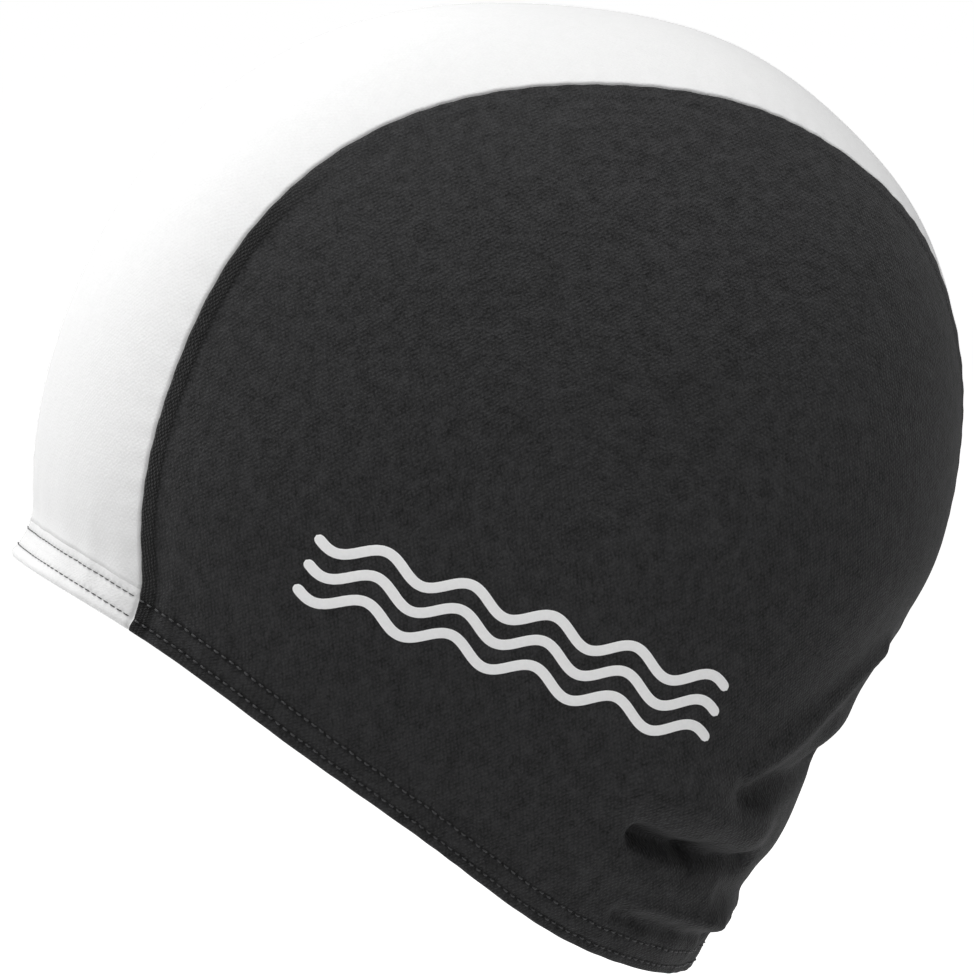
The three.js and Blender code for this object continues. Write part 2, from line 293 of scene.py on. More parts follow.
# The stage, in metres. The paper glows from GLOW_RANGE on, measured from the middle of the floor.
FLOOR_RADIUS = 14.0
FLOOR_SIDES = 96
FLOOR_HEIGHT = -0.45
GLOW_RANGE = (0.7, 1.3)
PAPER_GLOW = 0.95
WORLD_STRENGTH = 0.05
LIGHT_AIM = (0, 0.02, 0.06)
# Each softbox: its name, place, diameter and power in watts
SOFTBOXES = (
    ("top_softbox", (0.3, -0.18, 1.64), 1.3, 34.0),
    ("front_softbox", (-1.2, -1.5, 0.5), 1.2, 22.0),
)

# The camera: turned from the wearer's left toward the front, and raised. It aims to the right of the origin and up.
CAMERA_TURN = math.radians(13.44)
CAMERA_RISE = math.radians(10.07)
CAMERA_DISTANCE = 1.6
CAMERA_AIM = (0.0225, 0.0583)
CAMERA_LENS = 273.1
CAMERA_SENSOR = 36.0
CAMERA_REACH = 40.0


def bell(x):
    """A cubic bell that is 2/3 at 0 and ends at 2."""
    far = np.abs(x)
    return np.where(far < 1, (4 - 6 * far**2 + 3 * far**3) / 6, np.clip(2 - far, 0, None) ** 3 / 6)


def blend(rows, place, step, period=None):
    """A smooth curve through a table: the mean of its rows, weighted by how near they are."""
    total = weights = 0.0
    for at, value in rows:
        away = place - at
        if period:
            away = away - period * np.round(away / period)
        weight = bell(away / step)
        total = total + weight * value
        weights = weights + weight
    return total / weights


def smoothstep(low, high, x):
    """0 up to low and 1 from high on, with a smooth rise between."""
    t = np.clip((x - low) / (high - low), 0, 1)
    return t * t * (3 - 2 * t)


def rim_height(back):
    """The rim's own height at a place along it."""
    place = np.clip((back - WIDEST_BACK) / CROWN_REACH, RIM_LINE[0][0], RIM_LINE[-1][0])
    return -RIM_DROP * blend(RIM_LINE, place, RIM_STEP)


def outline_reach(turn):
    """How far the outline is from the widest point of a side."""
    return CROWN_REACH * blend(OUTLINE_REACH, np.degrees(turn), OUTLINE_STEP, 360)


def seam_half(turn):
    """Half the width of the white strip."""
    return STRIP_WIDTH * blend(SEAM_HALF, np.degrees(turn), SEAM_STEP)


def smooth_point(turn, lateral):
    """A place on the cap without its flare and folds."""
    reach = outline_reach(turn) * np.clip(np.cos(lateral), 0, None) ** (2 / FULLNESS)
    out = HALF_WIDTH * np.sign(lateral) * np.abs(np.sin(lateral)) ** (2 / FULLNESS)
    return np.stack([out, WIDEST_BACK + reach * np.cos(turn), WIDEST_UP + reach * np.sin(turn)], axis=-1)


def place_at(back, up):
    """The turn and the lateral angle of a place in the side view, on the wearer's left."""
    turn = np.arctan2(up - WIDEST_UP, back - WIDEST_BACK)
    share = np.hypot(back - WIDEST_BACK, up - WIDEST_UP) / outline_reach(turn)
    return turn, np.arccos(np.clip(share, 0, 1) ** (FULLNESS / 2))


def fold_lift(fold, around, height):
    """How far one fold lifts the cloth, as a soft ridge along its line."""
    start_around, start_height, end_around, end_height, width, depth = fold
    start = np.array([math.radians(start_around) * HALF_WIDTH, start_height * WIDEST_UP])
    along = np.array([math.radians(end_around) * HALF_WIDTH, end_height * WIDEST_UP]) - start
    place = np.stack([around * HALF_WIDTH, height], axis=-1) - start
    share = np.clip(place @ along / (along @ along), 0, 1)
    away = np.linalg.norm(place - share[..., None] * along, axis=-1) / (width * FOLD_WIDTH)
    return FOLD_DEPTH * depth * np.exp(-away * away)


def outer_point(turn, lateral):
    """The cap's outer face with its hem flare and its folds."""
    point = smooth_point(turn, lateral)
    height = point[..., 2] - rim_height(point[..., 1])
    outward = point * (1, 1, 0) - (0, WIDEST_BACK, 0)
    outward /= np.linalg.norm(outward, axis=-1, keepdims=True).clip(1e-6)
    around = np.arctan2(point[..., 0], point[..., 1] - WIDEST_BACK)
    lift = sum(fold_lift(fold, around, height) for fold in NAPE_FOLDS + SMALL_FOLDS)
    point = point + outward * lift[..., None]
    flare = np.clip(-np.cos(around), 0, None) * np.clip(1 - height / FLARE_HEIGHT, 0, None)
    point[..., 1] -= HEM_FLARE * flare**2
    return point


def outer_frame(turn, lateral):
    """The outer face and the direction away from the head, from the slopes of the face in a flat chart of it."""
    side = np.where(lateral < 0, -1.0, 1.0)
    far = 1 - np.abs(lateral) / RIGHT_ANGLE
    chart = np.stack([far * np.cos(turn), far * np.sin(turn)], axis=-1)

    def slope(step):
        ends = []
        for place in (chart + step, chart - step):
            lateral_here = side * RIGHT_ANGLE * (1 - np.linalg.norm(place, axis=-1))
            ends.append(outer_point(np.arctan2(place[..., 1], place[..., 0]), lateral_here))
        return ends[0] - ends[1]

    normal = np.cross(slope(np.array([CHART_STEP, 0])), slope(np.array([0, CHART_STEP]))) * side[..., None]
    normal /= np.linalg.norm(normal, axis=-1, keepdims=True).clip(1e-9)
    return outer_point(turn, lateral), normal


def strip_lateral(turn, share, widening=0.0):
    """The lateral angle of a place on the white strip, whose share is -1 on its right seam and 1 on its left."""
    out = np.clip(np.abs(share) * (seam_half(turn) + widening) / HALF_WIDTH, 0, 1)
    return np.sign(share) * np.arcsin(out ** (FULLNESS / 2))


def turn_at_height(ends, share, height, widening=0.0):
    """The turn at which a line along the white strip is at a height above the rim."""
    share, height = np.broadcast_arrays(np.asarray(share, float), np.asarray(height, float))
    high, low = np.full(share.shape, ends[0]), np.full(share.shape, ends[1])
    for _ in range(HALVINGS):
        middle = (high + low) / 2
        point = smooth_point(middle, strip_lateral(middle, share, widening))
        above = point[..., 2] - rim_height(point[..., 1]) > height
        high, low = np.where(above, middle, high), np.where(above, low, middle)
    return (high + low) / 2


def arc_from_side(turn, lateral):
    """The length of cloth from the side of the head to a place, in millimetres."""
    reach, steps = outline_reach(turn), np.linspace(0, 1, ARC_STEPS)
    angles = np.abs(lateral)[..., None] + (RIGHT_ANGLE - np.abs(lateral)[..., None]) * steps
    across = HALF_WIDTH * np.sin(angles) ** (2 / FULLNESS)
    inward = reach[..., None] * np.clip(np.cos(angles), 0, None) ** (2 / FULLNESS)
    return np.hypot(np.diff(across), np.diff(inward)).sum(axis=-1)


def side_cloth_place(turn, lateral):
    """Where a place on a side panel was on the flat cloth: across the wales and along them, in millimetres."""
    far = arc_from_side(turn, lateral)
    return far * np.cos(turn), far * np.sin(turn)


MIDDLE_TURNS = np.linspace(FRONT_TURNS[1], NAPE_TURNS[1], MIDDLE_STEPS)
MIDDLE_LINE = smooth_point(MIDDLE_TURNS, np.zeros_like(MIDDLE_TURNS))
MIDDLE_LENGTH = np.concatenate([[0], np.cumsum(np.linalg.norm(np.diff(MIDDLE_LINE, axis=0), axis=1))])


def strip_cloth_place(turn, lateral):
    """Where a place on the white strip was on the flat cloth, in millimetres."""
    along = np.interp(-turn, -MIDDLE_TURNS, MIDDLE_LENGTH)
    return smooth_point(turn, lateral)[..., 0], along


def seam_line():
    """Points every tenth of a millimetre or so along the left seam, from hem edge to hem edge."""
    ends = turn_at_height(FRONT_TURNS, 1, 0), turn_at_height(NAPE_TURNS, 1, 0)
    turns = np.linspace(float(ends[0]), float(ends[1]), SEAM_LINE_STEPS)
    return outer_point(turns, strip_lateral(turns, 1.0))


LEFT_SEAM = seam_line()


def distances(points, line):
    """How far each point is from a line of points, and which of them is nearest."""
    tree = KDTree(len(line))
    for i, place in enumerate(line):
        tree.insert(place, i)
    tree.balance()
    found = [tree.find(p)[1:] for p in points.reshape(-1, 3)]
    index, away = np.array(found).T
    return away.reshape(points.shape[:-1]), index.reshape(points.shape[:-1])


def seam_distance(points):
    """How far places on either side of the cap are from their own seam, and how far along it they are."""
    mirrored = points.copy()
    mirrored[..., 0] = np.abs(mirrored[..., 0])
    away, index = distances(mirrored, LEFT_SEAM)
    step = np.linalg.norm(np.diff(LEFT_SEAM, axis=0), axis=1).mean()
    return away, index * step


def ripple(places, wavelength, seed):
    """Soft unevenness between -1 and 1 or so, from a few sine waves that run in chance directions."""
    chance = np.random.default_rng(seed)
    total = 0.0
    for _ in range(RIPPLE_WAVES):
        direction = chance.normal(size=3)
        direction *= 2 * math.pi / (wavelength * chance.uniform(*RIPPLE_SPREAD) * np.linalg.norm(direction))
        total = total + np.sin(places @ direction + chance.uniform(0, 2 * math.pi))
    return total / RIPPLE_SUM


def panel_relief(points, side_panel):
    """How far a sewn panel stands off the smooth form: sunk at its seams, lifted over the allowance, and puckered.
    The distance from the seam comes with it."""
    seam_away, seam_along = seam_distance(points)
    height = points[..., 2] - rim_height(points[..., 1])
    relief = -SEAM_SINK * np.exp(-((seam_away / SEAM_ROLL) ** 2))
    pucker = np.sin(2 * math.pi * seam_along / PUCKER_PITCH + PUCKER_WANDER * ripple(points, *PUCKER_RIPPLE))
    relief = relief + PUCKER_RISE * pucker * np.exp(-seam_away / PUCKER_REACH)
    around = np.arctan2(points[..., 0], WIDEST_BACK - points[..., 1]) * HALF_WIDTH
    gather = np.sin(2 * math.pi * around / GATHER_PITCH + GATHER_WANDER * ripple(points, *GATHER_RIPPLE))
    relief = relief + GATHER_RISE * gather * np.exp(-np.abs(height - HEM_DEPTH) / GATHER_REACH)
    relief = relief + UNEVEN_RISE * ripple(points, *UNEVEN_RIPPLE) * smoothstep(0, UNEVEN_FULL, height)
    if side_panel:
        outer_end, inner_end = ALLOWANCE_WIDTH + ALLOWANCE_EDGE, ALLOWANCE_WIDTH - ALLOWANCE_EDGE
        relief = relief + ALLOWANCE_RISE * smoothstep(outer_end, inner_end, seam_away)
    return relief, seam_away


def turned_up(points):
    """From the rim's frame in millimetres to the CAD's frame in metres."""
    x, y, z = np.moveaxis(np.asarray(points, float), -1, 0)
    c, s = math.cos(RIM_TILT), math.sin(RIM_TILT)
    return MM * np.stack([x, c * y + s * z, c * z - s * y], axis=-1)


def make_piece(name, points, faces, material, cloth=None, shade_at_holes=None):
    """A smooth mesh object that rides with the cap. cloth gives each point its place on the flat cloth and its
    distance from the seam, and the last argument how near it is to a needle's hole, from 0 to 1, which darkens the
    colour there as painted shade."""
    mesh = bpy.data.meshes.new(name)
    mesh.from_pydata(turned_up(points).tolist(), [], [list(f) for f in faces])
    if cloth is not None:
        layer = mesh.attributes.new("cloth", "FLOAT_VECTOR", "POINT")
        layer.data.foreach_set("vector", cloth.astype(np.float32).ravel())
    if shade_at_holes is not None:
        layer = mesh.attributes.new("shade_at_holes", "FLOAT", "POINT")
        layer.data.foreach_set("value", shade_at_holes.astype(np.float32).ravel())
    mesh.shade_smooth()
    mesh.materials.append(material)
    mesh.validate()
    piece = bpy.data.objects.new(name, mesh)
    bpy.context.scene.collection.objects.link(piece)
    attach(piece, BODY)
    return piece


def grid_faces(rows, columns, around=False, start=0):
    """The quads of a grid of points, which may close on itself from its last column to its first."""
    across = columns if around else columns - 1
    j, i = np.meshgrid(np.arange(rows - 1), np.arange(across), indexing="ij")
    here, beside = j * columns + i, j * columns + (i + 1) % columns
    quads = np.stack([here, beside, beside + columns, here + columns], -1)
    return (quads.reshape(-1, 4) + start).tolist()


def edge_crowded(length, count, near):
    """Distances from an edge, close together near it and even further in."""
    close = np.array([d for d in near if d < NEAR_SHARE * length])
    rest = np.linspace(close[-1], length, count - len(close) + 1)[1:]
    return np.concatenate([close, rest])


def two_faced(outer, normals, thickness):
    """Outer and inner points of a sheet, the inner ones after the outer."""
    return np.concatenate([outer, outer - normals * thickness])


def both_faces(outer_faces, count):
    """The outer faces and their mates on the inner side, whose points come count later."""
    return outer_faces + [[count + i for i in reversed(f)] for f in outer_faces]


def rim_quads(loop, count):
    """Quads that close the edge between the outer and the inner face, along a loop that runs with the outer faces."""
    following = np.roll(loop, -1)
    return np.stack([following, loop, loop + count, following + count], -1).tolist()


def build_centre_panel(sizes, material):
    """The white strip, from the hem at the forehead to the hem at the nape."""
    near = np.array(SEAM_ROWS)
    inner = np.linspace(-1, 1, STRIP_INNER_COLUMNS)
    rows = np.linspace(0, 1, STRIP_ROWS)[:, None]
    ends = [turn_at_height(turns, 1.0, HEM_DEPTH) for turns in (FRONT_TURNS, NAPE_TURNS)]
    half = seam_half(ends[0] * (1 - rows) + ends[1] * rows)
    left = 1 - COLUMN_SQUEEZE * near[None, :] / half
    middle = left[:, -1:] * inner[None, ::-1]
    share = np.concatenate([left, middle[:, 1:-1], -left[:, ::-1]], axis=1)[:, ::-1]
    front_turn, nape_turn = (turn_at_height(turns, share, HEM_DEPTH) for turns in (FRONT_TURNS, NAPE_TURNS))
    turn = front_turn * (1 - rows) + nape_turn * rows
    lateral = strip_lateral(turn, share)
    points, normals = outer_frame(turn, lateral)
    relief, seam_away = panel_relief(points, False)
    outer = points + normals * relief[..., None]
    across, along = strip_cloth_place(turn, lateral)
    cloth = np.stack([across, along, seam_away], -1).reshape(-1, 3)
    positions = two_faced(outer.reshape(-1, 3), normals.reshape(-1, 3), sizes.cloth_thickness / MM)
    faces = both_faces(grid_faces(*share.shape), share.size)
    index = np.arange(share.size).reshape(share.shape)
    loop = np.concatenate([index[0, :-1], index[:-1, -1], index[-1, :0:-1], index[:0:-1, 0]])
    faces += rim_quads(loop, share.size)
    piece = make_piece("centre_panel_cloth", positions, faces, material, np.concatenate([cloth, cloth]))
    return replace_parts(piece, "centre_panel")


def side_edge():
    """Turn and lateral angle round the edge of the left panel: along the hem, then up and over the seam."""
    front, nape = (float(turn_at_height(ends, 1.0, HEM_DEPTH)) for ends in (FRONT_TURNS, NAPE_TURNS))
    corners = [smooth_point(np.array(t), strip_lateral(np.array(t), 1.0))[1] for t in (front, nape)]
    back = np.linspace(corners[0], corners[1], SIDE_SPOKES_HEM)
    hem_turn, hem_lateral = place_at(back, rim_height(back) + HEM_DEPTH)
    seam_turn = np.linspace(nape, front, SIDE_SPOKES_SEAM + 1)[1:-1]
    hem_turn = np.where(hem_turn > RIGHT_ANGLE, hem_turn - 2 * math.pi, hem_turn)
    turn = np.concatenate([hem_turn, seam_turn])
    lateral = np.concatenate([hem_lateral, strip_lateral(seam_turn, 1.0)])
    return turn, lateral


def build_side_panel(name, node, side, sizes, material):
    """A side panel in rings that shrink from its edge to the side of the head. side is 1 for left and -1 for right."""
    turn, edge_lateral = side_edge()
    steps = np.linspace(0, 1, SPOKE_STEPS)
    spoke_lateral = edge_lateral[:, None] + (RIGHT_ANGLE - edge_lateral[:, None]) * steps
    spoke = smooth_point(np.broadcast_to(turn[:, None], spoke_lateral.shape), spoke_lateral)
    length = np.cumsum(np.linalg.norm(np.diff(spoke, axis=1), axis=2), axis=1)
    length = np.concatenate([np.zeros((len(turn), 1)), length], axis=1)
    rings = []
    for line, angles in zip(length, spoke_lateral):
        wanted = edge_crowded(line[-1], SIDE_RINGS, SEAM_ROWS)[:-1]
        rings.append(np.interp(wanted, line, angles))
    ring_lateral = np.array(rings).T
    ring_count, spokes = ring_lateral.shape
    ring_turns = np.broadcast_to(turn, ring_lateral.shape)
    lateral = np.concatenate([ring_lateral.ravel(), [RIGHT_ANGLE - POLE_GAP]]) * side
    turns = np.concatenate([ring_turns.ravel(), [0.0]])
    points, normals = outer_frame(turns, lateral)
    relief, seam_away = panel_relief(points, True)
    outer = points + normals * relief[:, None]
    count = len(outer)
    across, along = side_cloth_place(turns, np.abs(lateral))
    cloth = np.stack([across, along, seam_away], -1)
    last = (ring_count - 1) * spokes
    ring_faces = grid_faces(ring_count, spokes, around=True)
    ring_faces += [[last + i, last + (i + 1) % spokes, count - 1] for i in range(spokes)]
    if side < 0:
        ring_faces = [f[::-1] for f in ring_faces]
    loop = np.arange(spokes)
    faces = both_faces(ring_faces, count) + rim_quads(loop if side > 0 else loop[::-1], count)
    positions = two_faced(outer, normals, sizes.cloth_thickness / MM)
    piece = make_piece(name, positions, faces, material, np.concatenate([cloth, cloth]))
    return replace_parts(piece, node)


def seam_jog(height):
    """How far the white hem reaches past the seam of the panels at the forehead."""
    return SEAM_JOG * smoothstep(HEM_DEPTH, SEAM_JOG_FULL, height)


def hem_place(hem, share, height):
    """The turn and the lateral angle of a place on a hem. share runs from 0 to 1 to the right, seen from outside."""
    share, height = np.broadcast_arrays(np.asarray(share, float), np.asarray(height, float))
    if hem in ("front", "nape"):
        ends, widening = (FRONT_TURNS, seam_jog(height)) if hem == "front" else (NAPE_TURNS, 0.0)
        across = (2 * share - 1) * (1 if hem == "front" else -1)
        turn = turn_at_height(ends, across, height, widening)
        return turn, strip_lateral(turn, across, widening)
    side = 1 if hem == "left" else -1
    corner = []
    for ends, widening in ((FRONT_TURNS, seam_jog(height)), (NAPE_TURNS, 0.0)):
        turn = turn_at_height(ends, 1.0, height, widening)
        corner.append(smooth_point(turn, strip_lateral(turn, 1.0, widening))[..., 1])
    along = share if side > 0 else 1 - share
    back = corner[0] + (corner[1] - corner[0]) * along
    turn, lateral = place_at(back, rim_height(back) + height)
    return turn, side * lateral


def hem_lift(height, along, pitch):
    """How far the hem's outer face stands off the panel's: doubled cloth, pulled in by each row of stitches."""
    lift = HEM_RISE * smoothstep(HEM_DEPTH, HEM_RISE_FULL, height)
    for row in STITCH_ROWS:
        pull = 1 - HOLE_PULL + HOLE_PULL * np.cos(2 * math.pi * along / pitch)
        lift = lift - ROW_SINK * pull * np.exp(-(((height - row) / ROW_SINK_WIDTH) ** 2))
    return lift


def painted_hole_shade(height, along, pitch):
    """How near places on a hem are to a needle's hole, from 0 to 1, with a weaker share in the row between the holes.
    The cloth is painted darker by it, as the shade in the holes and along the rows.
    """
    rows = sum(np.exp(-(((height - row) / HOLE_WIDTH) ** 2)) for row in STITCH_ROWS)
    return rows * (ROW_PAINTED_SHADE + (1 - ROW_PAINTED_SHADE) * (0.5 + 0.5 * np.cos(2 * math.pi * along / pitch)) ** 2)


def hem_face(hem, share, height, along, pitch):
    """A hem's outer face, the direction away from the head, and each place's own cloth."""
    turn, lateral = hem_place(hem, share, height)
    points, normals = outer_frame(turn, lateral)
    relief, seam_away = panel_relief(points, hem in ("left", "right"))
    lift = relief + hem_lift(height, along, pitch)
    if hem in ("left", "right"):
        across, up = side_cloth_place(turn, np.abs(lateral))
    else:
        across, up = strip_cloth_place(turn, lateral)
    return points + normals * lift[..., None], normals, np.stack([across, up, seam_away], -1)


def hem_shares(hem, step):
    """Evenly spaced shares along a hem, and their distances along it."""
    share = np.linspace(0, 1, HEM_LINE_STEPS)
    line = outer_point(*hem_place(hem, share, HEM_LINE_HEIGHT))
    length = np.concatenate([[0], np.cumsum(np.linalg.norm(np.diff(line, axis=0), axis=1))])
    along = np.linspace(0, length[-1], round(length[-1] / step))
    return np.interp(along, length, share), along


def hem_section():
    """Heights and depths of the hem's closed section: down the outer face, round the fold and up the inner face."""
    radius = HEM_THICKNESS / 2
    heights = list(np.arange(HEM_TOP, radius, -HEM_FACE_STEP))
    depths = [TUCK_DEPTH if h > HEM_DEPTH else 0.0 for h in heights]
    for angle in np.linspace(0, math.pi, HEM_TURN_STEPS):
        heights.append(radius * (1 - math.sin(angle)))
        depths.append(radius * (1 - math.cos(angle)))
    for height in np.linspace(radius + INNER_START, INNER_END, INNER_STEPS):
        heights.append(height)
        depths.append(HEM_THICKNESS)
    for height, depth in TURNED_EDGE:
        heights.append(height)
        depths.append(depth)
    return np.array(heights), np.array(depths)


def build_hem(name, node, hem, sizes, material):
    """A turned hem: its section, swept along the head opening and closed at both ends."""
    share, along = hem_shares(hem, HEM_SECTION_STEP)
    heights, depths = hem_section()
    shares, levels = np.meshgrid(share, heights, indexing="ij")
    lengths = np.broadcast_to(along[:, None], shares.shape)
    pitch = sizes.stitch_length / MM
    points, normals, cloth = hem_face(hem, shares, levels, lengths, pitch)
    positions = points - normals * depths[None, :, None]
    sections, around = shares.shape
    last = (sections - 1) * around
    faces = grid_faces(sections, around, around=True)
    faces += [list(range(around))[::-1], list(range(last, last + around))]
    # The needle's holes and the rows between them get painted shade in the cloth's colour
    holes = painted_hole_shade(levels, lengths, pitch) * (depths < OUTER_FACE_DEPTH)
    piece = make_piece(name, positions.reshape(-1, 3), faces, material, cloth.reshape(-1, 3), holes)
    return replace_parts(piece, node)


def build_stitches(name, hem, sizes, material, shown, fullness):
    """Two rows of straight stitches, each a thread that comes up out of the cloth and goes down again. shown is the
    share of a stitch that lies on top of the cloth, and fullness how plump the thread is, 1 for round."""
    share_line, along_line = hem_shares(hem, STITCH_LINE_STEP)
    pitch, radius = sizes.stitch_length / MM, sizes.thread_diameter / MM / 2 * fullness
    count = int(along_line[-1] / pitch)
    steps = np.linspace(-0.5, 0.5, STITCH_POINTS) * shown * pitch
    middles = (np.arange(count) + 0.5) * pitch
    along = middles[:, None] + steps
    share = np.interp(along, along_line, share_line)
    turn = np.linspace(0, 2 * math.pi, THREAD_SIDES, endpoint=False)
    rise = radius * (THREAD_BOW * np.cos(np.pi * steps / (shown * pitch)) - THREAD_SINK)
    to_end = np.abs(steps) / (0.5 * shown * pitch)
    thick = radius * np.clip(THREAD_SWELL - to_end**THREAD_TAPER * THREAD_THINNING, THREAD_LEAST, 1)
    positions, faces = [], []
    for row in STITCH_ROWS:
        points, normals, _ = hem_face(hem, share, np.full_like(share, row), along, pitch)
        path = points + normals * rise[None, :, None]
        ahead = np.gradient(path, axis=1)
        ahead /= np.linalg.norm(ahead, axis=-1, keepdims=True)
        across = np.cross(ahead, normals)
        across /= np.linalg.norm(across, axis=-1, keepdims=True)
        up = np.cross(across, ahead)
        ring = across[..., None, :] * np.cos(turn)[:, None] + up[..., None, :] * np.sin(turn)[:, None]
        tube = path[..., None, :] + ring * thick[None, :, None, None]
        for stitch in tube:
            start = len(positions)
            last = start + (STITCH_POINTS - 1) * THREAD_SIDES
            positions += stitch.reshape(-1, 3).tolist()
            faces += grid_faces(STITCH_POINTS, THREAD_SIDES, around=True, start=start)
            faces.append(list(range(start, start + THREAD_SIDES))[::-1])
            faces.append(list(range(last, last + THREAD_SIDES)))
    return make_piece(name, np.array(positions), faces, material)


def build_print(name, sizes, material):
    """Plain wave lines of ink that lie on the left panel and follow its cloth."""
    along = np.linspace(-0.5, 0.5, PRINT_STEPS)[:, None] * PRINT_LENGTH
    across = np.linspace(-1, 1, PRINT_WIDTHS)[None, :]
    half_width = sizes.print_line_width / MM / 2
    to_end = np.clip((PRINT_LENGTH / 2 - np.abs(along)) / half_width, 0, 1)
    width = half_width * np.sqrt(1 - (1 - to_end) ** 2)
    wave = WAVE_RISE * np.sin(2 * math.pi * along / WAVE_LENGTH)
    slope = WAVE_RISE * 2 * math.pi / WAVE_LENGTH * np.cos(2 * math.pi * along / WAVE_LENGTH)
    level = np.hypot(1, slope)
    positions, faces = [], []
    for line in WAVE_LINES:
        right = along - across * width * slope / level
        up = line + wave + across * width / level
        back = PRINT_BACK + right * math.cos(PRINT_SLOPE) - up * math.sin(PRINT_SLOPE)
        high = PRINT_UP + right * math.sin(PRINT_SLOPE) + up * math.cos(PRINT_SLOPE)
        points, normals = outer_frame(*place_at(back, high))
        relief, _ = panel_relief(points, True)
        stand = relief + PRINT_STAND * np.sqrt(np.clip(1 - across**PRINT_ROUNDING, 0, 1)) - PRINT_SINK
        faces += grid_faces(PRINT_STEPS, PRINT_WIDTHS, start=len(positions))
        positions += (points + normals * stand[..., None]).reshape(-1, 3).tolist()
    return make_piece(name, np.array(positions), [f[::-1] for f in faces], material)


def linear_from_hex(code):
    """An sRGB hex colour as linear numbers."""
    values = [int(code[i : i + 2], 16) / 255 for i in (1, 3, 5)]
    return tuple(v / 12.92 if v <= 0.04045 else ((v + 0.055) / 1.055) ** 2.4 for v in values)


def add_node(tree, kind, settings=None, links=None):
    """A shader node with its settings, and with each input set to a value or linked to another node's output."""
    node = tree.nodes.new(kind)
    for key, value in (settings or {}).items():
        setattr(node, key, value)
    for key, value in (links or {}).items():
        if isinstance(value, bpy.types.NodeSocket):
            tree.links.new(value, node.inputs[key])
        else:
            node.inputs[key].default_value = value
    return node


def new_material(name):
    """An empty material and its node tree."""
    material = bpy.data.materials.new(name)
    material.use_nodes = True
    material.node_tree.nodes.clear()
    return material, material.node_tree


